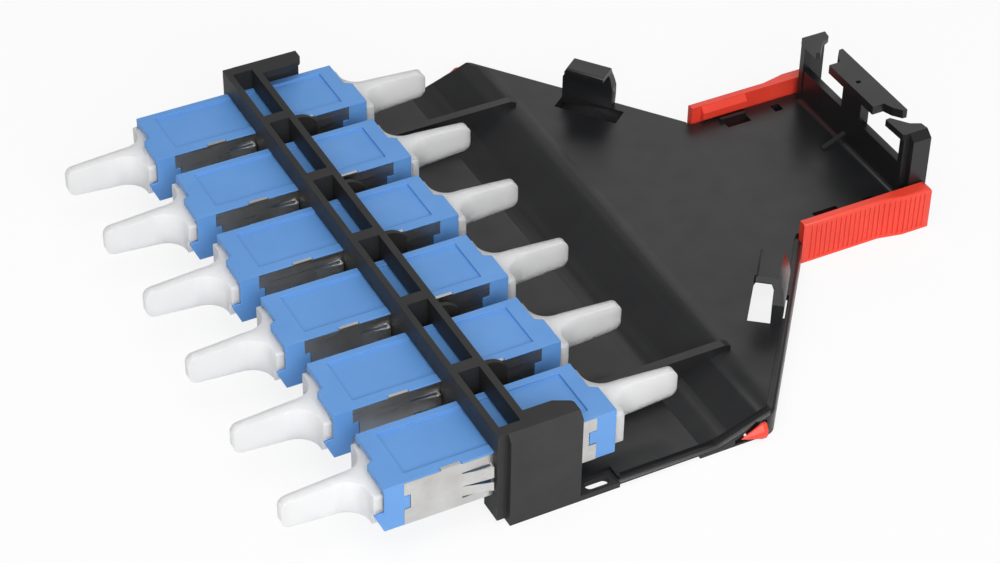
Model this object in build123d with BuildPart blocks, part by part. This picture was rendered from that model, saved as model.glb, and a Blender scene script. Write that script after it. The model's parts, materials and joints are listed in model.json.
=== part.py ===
from build123d import *
from math import cos, hypot, radians, sin
import os

# Fibre cassette: a tray with a panel bar that holds six optical adapters.
# Units are millimetres.  +X runs from the connectors to the cable entry,
# +Y to the left side seen from the connectors, +Z up; the underside is at z = 0.

# Adapter row
ADAPTER_COUNT = 6
ADAPTER_PITCH = 18.0
ADAPTER_WIDTH = 12.8
ADAPTER_HEIGHT = 8.7
ADAPTER_BASE = 5.3
ADAPTER_TOP = ADAPTER_BASE + ADAPTER_HEIGHT
ADAPTER_AXIS = ADAPTER_BASE + ADAPTER_HEIGHT / 2
ADAPTER_MIDDLE = 1.45
ADAPTER_REACH = 18.35
MOUTH_STEP = 1.3
FRONT_DEEP = ADAPTER_MIDDLE - ADAPTER_REACH
FRONT_PROUD = FRONT_DEEP - MOUTH_STEP
REAR_DEEP = ADAPTER_MIDDLE + ADAPTER_REACH
REAR_PROUD = REAR_DEEP + MOUTH_STEP
STEP_LOW = -0.45
STEP_HIGH = 0.35
MOUTH_WALL = 1.1
MOUTH_ROOF = 1.2
MOUTH_WIDTH = ADAPTER_WIDTH - 2 * MOUTH_WALL
MOUTH_HEIGHT = ADAPTER_HEIGHT - 2 * MOUTH_ROOF
DIVIDER_HALF = 2.3
BARREL_RADIUS = 2.35
BARREL_REACH = 6.2
LABEL_DEPTH = 0.45
LABEL_MARGIN_FRONT = 2.9
LABEL_MARGIN_REAR = 2.65
LABEL_MARGIN_NEAR = 1.95
LABEL_MARGIN_FAR = 1.35
LABEL_FRONT = FRONT_DEEP + LABEL_MARGIN_FRONT
LABEL_REAR = REAR_DEEP - LABEL_MARGIN_REAR
LABEL_NEAR = LABEL_MARGIN_NEAR - ADAPTER_WIDTH / 2
LABEL_FAR = ADAPTER_WIDTH / 2 - LABEL_MARGIN_FAR
LIP_REACH = 1.3
LIP_WIDTH = 1.0
LIP_RISE = 3.9
LIP_FLAT = 0.9
LIP_TOP = ADAPTER_BASE + LIP_RISE

# Ceramic split sleeve
FERRULE_RADIUS = 1.25
SLEEVE_RADIUS = 1.6
SLEEVE_LENGTH = 11.3
SLEEVE_SLIT = 0.45
SLEEVE_CLEARANCE = 0.05
BARREL_LIP_RADIUS = 1.38

# Steel spring clip around each adapter
CLIP_GAUGE = 0.3
CLIP_INSET_FRONT = 2.0
CLIP_INSET_REAR = 2.1
CLIP_DROP = 0.25
CLIP_STRIP = 16.0
CLIP_FRONT = FRONT_DEEP + CLIP_INSET_FRONT
CLIP_REAR = REAR_DEEP - CLIP_INSET_REAR
CLIP_TOP = ADAPTER_TOP - CLIP_DROP
KEY_LENGTH_FRONT = 0.95
KEY_LENGTH_REAR = 1.2
KEY_RISE = 3.3
KEY_HEIGHT = 2.5
KEY_GAP = 0.12
KEY_LOW = ADAPTER_BASE + KEY_RISE
KEY_HIGH = KEY_LOW + KEY_HEIGHT
FOLD_LENGTH_FRONT = 3.3
FOLD_LENGTH_REAR = 2.9
FOLD_WIDTH = 0.55
FOLD_OFFSET_FRONT = 6.95
FOLD_OFFSET_REAR = 6.65
FOLD_GAP = 0.15
FINGER_LENGTH = 4.6
POCKET_FINGER_LENGTH = 3.2
FINGER_RISE = 1.6
FINGER_HEIGHT = 4.9
FINGER_BOTTOM = ADAPTER_BASE + FINGER_RISE
FINGER_TOP = FINGER_BOTTOM + FINGER_HEIGHT
FINGER_SLIT = 0.28
FINGER_FLARE = 0.8
FINGER_PROUD = 0.42
FINGER_RECESS = 0.45
FINGER_GAP = 0.3
FINGER_ROOM = 0.7

# Dust plugs
PLUG_CLEARANCE = 0.1
PLUG_INSERT = 2.6
PLUG_HEIGHT = MOUTH_HEIGHT - 2 * PLUG_CLEARANCE
PLUG_INSET = 0.2
PLUG_HALF_WIDTH = ADAPTER_WIDTH / 2 - PLUG_INSET
PLUG_SEAT = 0.02
FLANGE_DEEP = 0.85
FLANGE_PROUD = 1.5
FLANGE_ROUND = 0.5
BLADE_ROOT_HALF = 1.0
BLADE_TIP_HALF = 0.8
BLADE_TIP_HEIGHT = 4.9
BLADE_STRAIGHT = 4.0
BLADE_REACH = 14.1
BLADE_ROUND = 1.4
BLADE_SPREAD_DEEP = 4.6
BLADE_SPREAD_PROUD = 5.1
BLADE_CURVE_DEEP = 3.4
BLADE_CURVE_PROUD = 4.2
BLADE_WAIST = 2.15

# Panel bar and its end plates
BAR_DEPTH = 6.0
BAR_END = 1.35
BAR_LENGTH = ADAPTER_PITCH * (ADAPTER_COUNT - 1) + ADAPTER_WIDTH + 2 * BAR_END
BAR_TOP = 18.1
WEB_BOTTOM = 3.4
LEG_FOOT = 0.8
LEG_WIDTH = 4.35
LEG_INNER = BAR_LENGTH / 2 - LEG_WIDTH
RAIL_FRONT = 1.1
RAIL_REAR = 1.25
CROSS_RIB = 2.2
POCKET_MARGIN = 1.95
POCKET_END = BAR_LENGTH / 2 - POCKET_MARGIN
WINDOW_CLEARANCE = 0.1
PLATE_PROUD = 1.15
PLATE_GAP = 0.2
PLATE_OUTER = BAR_LENGTH / 2 + PLATE_PROUD
PLATE_INNER = BAR_LENGTH / 2 - BAR_END + PLATE_GAP
PLATE_FRONT = 1.65
PLATE_TAIL = 7.9
PLATE_REAR = BAR_DEPTH + PLATE_TAIL
SHELF_WIDTH = 4.9
SHELF_INNER = PLATE_OUTER - SHELF_WIDTH
SHELF_THICKNESS = 1.4
SHELF_STRAIGHT = 5.0
FOOT_LENGTH = 7.0
FOOT_REAR = PLATE_REAR + FOOT_LENGTH
FOOT_HEIGHT = 1.0
FOOT_WIDTH = 3.4
FOOT_INNER = PLATE_OUTER - FOOT_WIDTH
FOOT_SLOT_LENGTH = 4.1
FOOT_SLOT_WIDTH = 1.7
FOOT_SLOT_GAP = 1.6
FOOT_SLOT_Y = PLATE_OUTER - 1.6
LUG_REACH = 5.1
LUG_THICKNESS = 0.9
LUG_TOP = 15.2
LUG_SHIFT = 1.5
LUG_DROP = 0.8

# Tray
TRAY_FRONT = 1.7
TRAY_SIDE = PLATE_OUTER
LEG_GAP = 0.1
FLOOR_LOW = 1.6
FLOOR_HIGH = 5.2
FLOOR_THICKNESS = 1.6
RAISED_BOTTOM = 0.6
RAMP_FOOT = 38.4
RAMP_LENGTH = 10.0
RAMP_TOP = RAMP_FOOT + RAMP_LENGTH
RAMP_RISE = FLOOR_HIGH - FLOOR_LOW
RAMP_BEND = 15.0
RAISED_END = RAMP_FOOT - 3.1
CORNER_X = RAMP_TOP + 0.24
SLANT_ANGLE = 37.95
SLANT_X = cos(radians(SLANT_ANGLE))
SLANT_Y = sin(radians(SLANT_ANGLE))
SLANT_REACH = CORNER_X * SLANT_X + TRAY_SIDE * SLANT_Y
SLANT_CORNER = CORNER_X * SLANT_Y - TRAY_SIDE * SLANT_X
NECK_HALF = 17.6
SHOULDER = NECK_HALF + 2.3
NECK_FRONT = (SLANT_REACH - SHOULDER * SLANT_Y) / SLANT_X - 0.15
SIDE_WALL = 1.05
CORNER_ROUND = 2.5
RIM_WIDTH = 0.95
RIM_DROP = 0.5
RIM_ROUND = 0.7
GROOVE_WIDTH = 0.55
GROOVE_DEPTH = 0.45
GROOVE_START = 0.5
PANEL_SIDE = TRAY_SIDE - RIM_WIDTH
RIB_Y = (ADAPTER_COUNT // 2 - 1) * ADAPTER_PITCH + 1.5
RIB_THICKNESS = 1.6
RIB_TOP = 6.3
RIB_FRONT = 12.2
RIB_REAR = RAMP_TOP + 1.4

# Fibre hooks on the slanted sides
HOOK_START = SLANT_CORNER + 20.4
HOOK_LENGTH = 9.7
HOOK_END = HOOK_START + HOOK_LENGTH
HOOK_WALL = 1.6
HOOK_REACH = 3.1
HOOK_OUTER = SLANT_REACH - RIM_WIDTH - GROOVE_WIDTH
HOOK_INNER = HOOK_OUTER - HOOK_WALL
HOOK_TIP = HOOK_INNER - HOOK_REACH
HOOK_HEIGHT = 8.2
HOOK_TOP = FLOOR_HIGH + HOOK_HEIGHT
HOOK_LIP = 0.9
HOOK_LIP_ROUND = 0.4
HOOK_BULGE = 0.3
HOOK_SHOULDER = FLOOR_HIGH + 4.1
WINDOW_INNER = HOOK_INNER - 3.9
WINDOW_START = HOOK_START + 0.2
WINDOW_END = HOOK_END + 2.5
EDGE_SLOT_START = HOOK_START + 2.5
EDGE_SLOT_END = HOOK_START + 8.6
EDGE_SLOT_WIDTH = 0.7
EDGE_SLOT_DEPTH = 2.2

# Floor slots beside the latches
LATCH_SLOT_FRONT = NECK_FRONT + 5.7
LATCH_SLOT_REAR = NECK_FRONT + 10.5
LATCH_SLOT_INNER = NECK_HALF - 3.7
LATCH_SLOT_OUTER = NECK_HALF - 1.9
RIDGE_OUTER = NECK_HALF - 1.2
RIDGE_HEIGHT = 0.7
HOLE_FRONT = NECK_FRONT + 15.8
HOLE_REAR = NECK_FRONT + 17.5
HOLE_INNER = NECK_HALF - 3.3
HOLE_OUTER = NECK_HALF - 1.4

# Rear wall with its posts and the tee-shaped fibre guide
NECK_LENGTH = 21.7
WALL_FRONT = NECK_FRONT + NECK_LENGTH
WALL_THICKNESS = 1.4
WALL_REAR = WALL_FRONT + WALL_THICKNESS
WALL_HEIGHT = 6.6
WALL_TOP = FLOOR_HIGH + WALL_HEIGHT
WALL_COVE = 0.9
ENTRY_INNER = 2.9
ENTRY_OUTER = NECK_HALF - 2.4
POST_FRONT = WALL_FRONT - 0.2
POST_REAR = WALL_FRONT + 4.5
POST_OUTER = NECK_HALF + 0.1
POST_TOP = 18.3
POST_CHAMFER = 1.15
POST_CHAMFER_WIDTH = 1.4
POST_WEB = 1.3
HORN_THICKNESS = 1.3
HORN_REACH = 6.6
TEE_THICKNESS = 1.7
TEE_UNDERSIDE = POST_TOP - TEE_THICKNESS
TEE_FRONT = WALL_FRONT - 0.5
TEE_REAR = POST_REAR - 0.1
TEE_HALF = NECK_HALF - 7.3
TEE_WEB = 1.8
TEE_WAIST = TEE_HALF - 3.3
FIN_REACH = 4.5
FIN_HEIGHT = 2.4
FIN_THICKNESS = 1.0
FIN_Y = 1.0

# Latches
HANDLE_FRONT = NECK_FRONT + 0.45
HANDLE_REAR = POST_REAR - 0.2
HANDLE_INNER = NECK_HALF + 0.45
HANDLE_WALL = 1.45
HANDLE_OUTER = HANDLE_INNER + HANDLE_WALL
HANDLE_FLARE = HANDLE_OUTER + 0.9
FLARE_START = HANDLE_FRONT + 15.6
FLARE_LENGTH = 4.5
FLARE_END = FLARE_START + FLARE_LENGTH
HANDLE_TOP = FLOOR_HIGH + 3.1
HANDLE_ROUND = 1.1
GRIP_PITCH = 0.97
GRIP_START = HANDLE_FRONT + 1.5
GRIP_MARGIN = 0.9
GRIP_COUNT = int((HANDLE_REAR - GRIP_MARGIN - GRIP_START) / GRIP_PITCH) + 1
GRIP_WIDTH = 0.46
GRIP_DEPTH = 0.16
GRIP_BOTTOM = 0.6
GRIP_TOP = HANDLE_TOP - 0.8
TAB_FRONT = HANDLE_FRONT + 1.85
TAB_REAR = TAB_FRONT + 9.1
TAB_INNER = HANDLE_INNER - 0.95
TAB_BOTTOM = FLOOR_HIGH + 0.6
TAB_EDGE = TAB_BOTTOM + 1.35
TAB_TOP = HANDLE_TOP - 0.1
PIVOT_X = NECK_FRONT + 13.6
PIVOT_Y = NECK_HALF - 2.3
PIVOT_RADIUS = 1.25
PIVOT_CLEARANCE = 0.05
PIVOT_HEAD = 1.75
LATCH_PLATE_FRONT = NECK_FRONT + 1.2
LATCH_PLATE_REAR = PIVOT_X + 2.0
LATCH_PLATE_INNER = PIVOT_Y - 2.1
PLATE_BOTTOM = 0.75
PLATE_TOP = 3.3
ARM_REACH = WINDOW_INNER - 1.5
ARM_WIDTH = 1.2
ARM_BEND = 4.0
ARM_BOTTOM = 0.5
ARM_TOP = 1.8
NOSE_PROUD = 1.25
NOSE_REACH = TRAY_SIDE + NOSE_PROUD
NOSE_FRONT = RAMP_FOOT + 4.3
NOSE_CREST = NOSE_FRONT + 3.5
NOSE_REAR = NOSE_FRONT + 4.2
NOSE_NECK_FRONT = NOSE_FRONT + 1.7
NOSE_NECK_TOP = 1.2
NOSE_SLOT_FRONT = NOSE_FRONT - 1.1
NOSE_SLOT_REAR = NOSE_REAR + 0.45
NOSE_SLOT_INNER = TRAY_SIDE - 4.9
NOSE_SLOT_SKIN = 0.75
NOSE_SLOT_SILL = 0.4
NOSE_TRAVEL = 0.66
NOSE_GAP = 0.15
NOSE_SLOT_TOP = NOSE_NECK_TOP + NOSE_GAP
NOSE_SLOT_OPEN = NOSE_NECK_FRONT - NOSE_TRAVEL - NOSE_GAP
NOSE_RISE = 2.85
NOSE_TOP = ARM_BOTTOM + NOSE_RISE
NOSE_TALL_SIDE = TRAY_SIDE + NOSE_GAP

# The frame's origin is under the middle of the whole cassette
FRONT_END = FRONT_PROUD - PLUG_SEAT - BLADE_REACH
REAR_END = POST_REAR
CENTRE_X = (FRONT_END + REAR_END) / 2

SLANT_OUT = Vector(SLANT_X, SLANT_Y, 0)
SLANT_ALONG = Vector(SLANT_Y, -SLANT_X, 0)
SLANT_PLANE = Plane(origin=(0, 0, 0), x_dir=SLANT_OUT, z_dir=SLANT_ALONG)
SLANT_VIEW = Plane(origin=(0, 0, 0), x_dir=SLANT_ALONG, z_dir=SLANT_ALONG.cross(Vector(0, 0, 1)))
SIDE_VIEW = Plane.XZ


def slant_point(out, along):
    return (out * SLANT_X + along * SLANT_Y, out * SLANT_Y - along * SLANT_X)


def slant_x(reach, y):
    return (reach - SLANT_Y * y) / SLANT_X


def slant_reach(point):
    return point.X * SLANT_X + abs(point.Y) * SLANT_Y


def ramp_height(x):
    return FLOOR_LOW + (x - RAMP_FOOT) * (FLOOR_HIGH - FLOOR_LOW) / (RAMP_TOP - RAMP_FOOT)


def handle_outside(x):
    share = min(max((x - FLARE_START) / (FLARE_END - FLARE_START), 0), 1)
    return HANDLE_OUTER + share * (HANDLE_FLARE - HANDLE_OUTER)


def row_y(number):
    return ((ADAPTER_COUNT + 1) / 2 - number) * ADAPTER_PITCH


# Front half of an adapter housing, modelled at y = 0
FRONT_OUTLINE = [
    (ADAPTER_MIDDLE, ADAPTER_WIDTH / 2),
    (FRONT_DEEP, ADAPTER_WIDTH / 2),
    (FRONT_DEEP, STEP_HIGH),
    (FRONT_PROUD, STEP_LOW),
    (FRONT_PROUD, -ADAPTER_WIDTH / 2),
    (ADAPTER_MIDDLE, -ADAPTER_WIDTH / 2),
]
FRONT_FINGER_END = -FINGER_GAP
POCKET_FINGER_END = RAIL_FRONT + FINGER_GAP
FINGER_MIDDLE = (FINGER_BOTTOM + FINGER_TOP) / 2
FRONT_FOLD_X = ADAPTER_MIDDLE - FOLD_OFFSET_FRONT - FOLD_LENGTH_FRONT / 2
REAR_FOLD_X = ADAPTER_MIDDLE + FOLD_OFFSET_REAR + FOLD_LENGTH_REAR / 2
BARREL_PLANE = Plane(origin=(ADAPTER_MIDDLE, 0, ADAPTER_AXIS), x_dir=(0, 1, 0), z_dir=(-1, 0, 0))

with BuildPart() as front_housing:
    with BuildSketch(Plane.XY.offset(ADAPTER_BASE)):
        with BuildLine():
            Polyline(*FRONT_OUTLINE, close=True)
        make_face()
    extrude(amount=ADAPTER_HEIGHT)
    # mouth for the connector
    with BuildSketch(BARREL_PLANE.offset(DIVIDER_HALF)):
        Rectangle(MOUTH_WIDTH, MOUTH_HEIGHT)
    extrude(amount=30, mode=Mode.SUBTRACT)
    # barrel that carries the ceramic sleeve
    with BuildSketch(BARREL_PLANE.offset(DIVIDER_HALF - 0.2)):
        Circle(BARREL_RADIUS)
    extrude(amount=BARREL_REACH - DIVIDER_HALF + 0.2)
    with BuildSketch(BARREL_PLANE):
        Circle(SLEEVE_RADIUS + SLEEVE_CLEARANCE)
    extrude(amount=SLEEVE_LENGTH / 2, mode=Mode.SUBTRACT)
    with BuildSketch(BARREL_PLANE):
        Circle(BARREL_LIP_RADIUS)
    extrude(amount=BARREL_REACH, mode=Mode.SUBTRACT)
    # label recess in the top face
    with BuildSketch(Plane.XY.offset(ADAPTER_TOP - LABEL_DEPTH)):
        with Locations(((LABEL_FRONT + ADAPTER_MIDDLE) / 2, (LABEL_NEAR + LABEL_FAR) / 2)):
            Rectangle(ADAPTER_MIDDLE - LABEL_FRONT, LABEL_FAR - LABEL_NEAR)
    extrude(amount=LABEL_DEPTH, mode=Mode.SUBTRACT)
    # seats for the steel clip, both sides and below
    with BuildSketch(Plane.XY.offset(ADAPTER_BASE)):
        with Locations(
            ((CLIP_FRONT + ADAPTER_MIDDLE) / 2, ADAPTER_WIDTH / 2 - CLIP_GAUGE / 2),
            ((CLIP_FRONT + ADAPTER_MIDDLE) / 2, -ADAPTER_WIDTH / 2 + CLIP_GAUGE / 2),
        ):
            Rectangle(ADAPTER_MIDDLE - CLIP_FRONT, CLIP_GAUGE)
    extrude(amount=CLIP_TOP - ADAPTER_BASE, mode=Mode.SUBTRACT)
    with BuildSketch(Plane.XY.offset(ADAPTER_BASE)):
        with Locations((ADAPTER_MIDDLE - CLIP_STRIP / 4, 0)):
            Rectangle(CLIP_STRIP / 2, ADAPTER_WIDTH)
    extrude(amount=CLIP_GAUGE, mode=Mode.SUBTRACT)
    # keys that stand in the clip's notches
    with BuildSketch(Plane.XY.offset(KEY_LOW)):
        with Locations(
            (CLIP_FRONT + KEY_LENGTH_FRONT / 2, ADAPTER_WIDTH / 2 - CLIP_GAUGE / 2),
            (CLIP_FRONT + KEY_LENGTH_FRONT / 2, -ADAPTER_WIDTH / 2 + CLIP_GAUGE / 2),
        ):
            Rectangle(KEY_LENGTH_FRONT, CLIP_GAUGE)
    extrude(amount=KEY_HIGH - KEY_LOW)
    # seat for the clip's folded tab
    with BuildSketch(Plane.XY.offset(CLIP_TOP)):
        with Locations((FRONT_FOLD_X, -ADAPTER_WIDTH / 2 + FOLD_WIDTH / 2)):
            Rectangle(FOLD_LENGTH_FRONT + 2 * FOLD_GAP, FOLD_WIDTH)
    extrude(amount=1, mode=Mode.SUBTRACT)
    # room behind the clip's fingers
    with BuildSketch(Plane.XY.offset(FINGER_BOTTOM)):
        for side in (-1, 1):
            recess_y = side * (ADAPTER_WIDTH / 2 - CLIP_GAUGE - FINGER_RECESS / 2)
            with Locations((FRONT_FINGER_END - FINGER_LENGTH / 2, recess_y)):
                Rectangle(FINGER_LENGTH, FINGER_RECESS)
    extrude(amount=FINGER_HEIGHT, mode=Mode.SUBTRACT)
    # small ramp at the lower corner of the mouth
    with BuildSketch(SIDE_VIEW.offset(ADAPTER_WIDTH / 2)):
        with BuildLine():
            Polyline(
                (FRONT_PROUD + 0.2, LIP_TOP),
                (FRONT_PROUD - LIP_REACH, LIP_TOP),
                (FRONT_PROUD - LIP_REACH, LIP_TOP - LIP_FLAT),
                (FRONT_PROUD, ADAPTER_BASE),
                (FRONT_PROUD + 0.2, ADAPTER_BASE),
                close=True,
            )
        make_face()
    extrude(amount=-LIP_WIDTH)

# Rear half of an adapter housing
REAR_OUTLINE = [
    (ADAPTER_MIDDLE, ADAPTER_WIDTH / 2),
    (REAR_DEEP, ADAPTER_WIDTH / 2),
    (REAR_DEEP, STEP_HIGH),
    (REAR_PROUD, STEP_LOW),
    (REAR_PROUD, -ADAPTER_WIDTH / 2),
    (ADAPTER_MIDDLE, -ADAPTER_WIDTH / 2),
]
REAR_PLANE = Plane(origin=(ADAPTER_MIDDLE, 0, ADAPTER_AXIS), x_dir=(0, 1, 0), z_dir=(1, 0, 0))

with BuildPart() as rear_housing:
    with BuildSketch(Plane.XY.offset(ADAPTER_BASE)):
        with BuildLine():
            Polyline(*REAR_OUTLINE, close=True)
        make_face()
    extrude(amount=ADAPTER_HEIGHT)
    with BuildSketch(REAR_PLANE.offset(DIVIDER_HALF)):
        Rectangle(MOUTH_WIDTH, MOUTH_HEIGHT)
    extrude(amount=30, mode=Mode.SUBTRACT)
    with BuildSketch(REAR_PLANE.offset(DIVIDER_HALF - 0.2)):
        Circle(BARREL_RADIUS)
    extrude(amount=BARREL_REACH - DIVIDER_HALF + 0.2)
    with BuildSketch(REAR_PLANE):
        Circle(SLEEVE_RADIUS + SLEEVE_CLEARANCE)
    extrude(amount=SLEEVE_LENGTH / 2, mode=Mode.SUBTRACT)
    with BuildSketch(REAR_PLANE):
        Circle(BARREL_LIP_RADIUS)
    extrude(amount=BARREL_REACH, mode=Mode.SUBTRACT)
    with BuildSketch(Plane.XY.offset(ADAPTER_TOP - LABEL_DEPTH)):
        with Locations(((LABEL_REAR + ADAPTER_MIDDLE) / 2, (LABEL_NEAR + LABEL_FAR) / 2)):
            Rectangle(LABEL_REAR - ADAPTER_MIDDLE, LABEL_FAR - LABEL_NEAR)
    extrude(amount=LABEL_DEPTH, mode=Mode.SUBTRACT)
    with BuildSketch(Plane.XY.offset(ADAPTER_BASE)):
        with Locations(
            ((CLIP_REAR + ADAPTER_MIDDLE) / 2, ADAPTER_WIDTH / 2 - CLIP_GAUGE / 2),
            ((CLIP_REAR + ADAPTER_MIDDLE) / 2, -ADAPTER_WIDTH / 2 + CLIP_GAUGE / 2),
        ):
            Rectangle(CLIP_REAR - ADAPTER_MIDDLE, CLIP_GAUGE)
    extrude(amount=CLIP_TOP - ADAPTER_BASE, mode=Mode.SUBTRACT)
    with BuildSketch(Plane.XY.offset(ADAPTER_BASE)):
        with Locations((ADAPTER_MIDDLE + CLIP_STRIP / 4, 0)):
            Rectangle(CLIP_STRIP / 2, ADAPTER_WIDTH)
    extrude(amount=CLIP_GAUGE, mode=Mode.SUBTRACT)
    with BuildSketch(Plane.XY.offset(KEY_LOW)):
        with Locations(
            (CLIP_REAR - KEY_LENGTH_REAR / 2, ADAPTER_WIDTH / 2 - CLIP_GAUGE / 2),
            (CLIP_REAR - KEY_LENGTH_REAR / 2, -ADAPTER_WIDTH / 2 + CLIP_GAUGE / 2),
        ):
            Rectangle(KEY_LENGTH_REAR, CLIP_GAUGE)
    extrude(amount=KEY_HIGH - KEY_LOW)
    with BuildSketch(Plane.XY.offset(CLIP_TOP)):
        with Locations((REAR_FOLD_X, -ADAPTER_WIDTH / 2 + FOLD_WIDTH / 2)):
            Rectangle(FOLD_LENGTH_REAR + 2 * FOLD_GAP, FOLD_WIDTH)
    extrude(amount=1, mode=Mode.SUBTRACT)

# Steel clip: two side plates joined by a strip below, with locking fingers
CLIP_LENGTH = CLIP_REAR - CLIP_FRONT
CLIP_CENTRE = (CLIP_REAR + CLIP_FRONT) / 2

with BuildPart() as clip:
    with BuildSketch(Plane.XY.offset(ADAPTER_BASE)):
        with Locations(
            (CLIP_CENTRE, ADAPTER_WIDTH / 2 - CLIP_GAUGE / 2),
            (CLIP_CENTRE, -ADAPTER_WIDTH / 2 + CLIP_GAUGE / 2),
        ):
            Rectangle(CLIP_LENGTH, CLIP_GAUGE)
    extrude(amount=CLIP_TOP - ADAPTER_BASE)
    with BuildSketch(Plane.XY.offset(ADAPTER_BASE)):
        with Locations((ADAPTER_MIDDLE, 0)):
            Rectangle(CLIP_STRIP, ADAPTER_WIDTH)
    extrude(amount=CLIP_GAUGE)
    # folded tabs on the top edge of one side
    with BuildSketch(Plane.XY.offset(CLIP_TOP)):
        with Locations((FRONT_FOLD_X, -ADAPTER_WIDTH / 2 + FOLD_WIDTH / 2)):
            Rectangle(FOLD_LENGTH_FRONT, FOLD_WIDTH)
        with Locations((REAR_FOLD_X, -ADAPTER_WIDTH / 2 + FOLD_WIDTH / 2)):
            Rectangle(FOLD_LENGTH_REAR, FOLD_WIDTH)
    extrude(amount=ADAPTER_TOP - CLIP_TOP)
    # notches around the housing's keys
    with BuildSketch(Plane.XZ.offset(-ADAPTER_WIDTH)):
        with Locations((CLIP_FRONT + (KEY_LENGTH_FRONT + KEY_GAP) / 2, (KEY_LOW + KEY_HIGH) / 2)):
            Rectangle(KEY_LENGTH_FRONT + KEY_GAP, KEY_HEIGHT + 2 * KEY_GAP)
        with Locations((CLIP_REAR - (KEY_LENGTH_REAR + KEY_GAP) / 2, (KEY_LOW + KEY_HIGH) / 2)):
            Rectangle(KEY_LENGTH_REAR + KEY_GAP, KEY_HEIGHT + 2 * KEY_GAP)
    extrude(amount=2 * ADAPTER_WIDTH, mode=Mode.SUBTRACT)
    # locking fingers on both sides of the bar's front rail, flared towards it
    with BuildSketch(Plane.XY.offset(FINGER_BOTTOM)):
        with BuildLine():
            Polyline(
                (FRONT_FINGER_END - FINGER_LENGTH, -ADAPTER_WIDTH / 2),
                (FRONT_FINGER_END, -ADAPTER_WIDTH / 2 - FINGER_FLARE),
                (FRONT_FINGER_END, -ADAPTER_WIDTH / 2 + 0.1),
                (FRONT_FINGER_END - FINGER_LENGTH, -ADAPTER_WIDTH / 2 + 0.1),
                close=True,
            )
        make_face()
        with BuildLine():
            Polyline(
                (POCKET_FINGER_END + POCKET_FINGER_LENGTH, -ADAPTER_WIDTH / 2),
                (POCKET_FINGER_END, -ADAPTER_WIDTH / 2 - FINGER_PROUD),
                (POCKET_FINGER_END, -ADAPTER_WIDTH / 2 + 0.1),
                (POCKET_FINGER_END + POCKET_FINGER_LENGTH, -ADAPTER_WIDTH / 2 + 0.1),
                close=True,
            )
        make_face()
        mirror(about=Plane.XZ)
    extrude(amount=FINGER_TOP - FINGER_BOTTOM)
    # slits that free the fingers
    with BuildSketch(Plane.XZ.offset(-ADAPTER_WIDTH)):
        for slit_z in (FINGER_BOTTOM, FINGER_TOP):
            with Locations((FRONT_FINGER_END - FINGER_LENGTH / 2 - 0.35, slit_z)):
                Rectangle(FINGER_LENGTH, FINGER_SLIT)
            with Locations((POCKET_FINGER_END + POCKET_FINGER_LENGTH / 2, slit_z)):
                Rectangle(POCKET_FINGER_LENGTH, FINGER_SLIT)
        with BuildLine():
            Polyline(
                (FRONT_FINGER_END - FINGER_LENGTH - 0.4, FINGER_MIDDLE - 0.3),
                (FRONT_FINGER_END + 0.01, FINGER_MIDDLE + 0.15),
                (FRONT_FINGER_END + 0.01, FINGER_MIDDLE - 0.75),
                close=True,
            )
        make_face()
    extrude(amount=2 * ADAPTER_WIDTH, mode=Mode.SUBTRACT)

# Ceramic split sleeve
with BuildPart() as sleeve:
    with BuildSketch(Plane(origin=(ADAPTER_MIDDLE, 0, ADAPTER_AXIS), x_dir=(0, 1, 0), z_dir=(1, 0, 0))):
        Circle(SLEEVE_RADIUS)
        Circle(FERRULE_RADIUS, mode=Mode.SUBTRACT)
        with Locations((0, SLEEVE_RADIUS)):
            Rectangle(SLEEVE_SLIT, SLEEVE_RADIUS, mode=Mode.SUBTRACT)
    extrude(amount=SLEEVE_LENGTH / 2, both=True)


# Plan and side outlines of a dust plug, for a mouth that faces +X from the given stepped face
def plug_plan(deep, proud, turn):
    tip = proud + turn * BLADE_REACH
    far = deep + turn * FLANGE_DEEP
    near = proud + turn * FLANGE_PROUD
    with BuildSketch(Plane.XY.offset(ADAPTER_AXIS - PLUG_HEIGHT / 2)) as plan:
        with BuildLine():
            l1 = Line((deep, PLUG_HALF_WIDTH), (far, PLUG_HALF_WIDTH))
            l2 = Line(l1 @ 1, (far, BLADE_SPREAD_DEEP))
            a1 = ThreePointArc(
                l2 @ 1,
                (far + turn * BLADE_CURVE_DEEP / 4, BLADE_WAIST),
                (far + turn * BLADE_CURVE_DEEP, BLADE_ROOT_HALF),
            )
            l3 = Line(a1 @ 1, (tip, BLADE_TIP_HALF))
            l4 = Line(l3 @ 1, (tip, -BLADE_TIP_HALF))
            l5 = Line(l4 @ 1, (near + turn * BLADE_CURVE_PROUD, -BLADE_ROOT_HALF))
            a2 = ThreePointArc(
                l5 @ 1,
                (near + turn * BLADE_CURVE_PROUD / 4, -BLADE_WAIST),
                (near, -BLADE_SPREAD_PROUD),
            )
            l6 = Line(a2 @ 1, (near, -PLUG_HALF_WIDTH))
            l7 = Line(l6 @ 1, (proud, -PLUG_HALF_WIDTH))
            l8 = Line(l7 @ 1, (proud, STEP_LOW))
            l9 = Line(l8 @ 1, (deep, STEP_HIGH))
            Line(l9 @ 1, l1 @ 0)
        make_face()
    return plan.sketch


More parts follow.
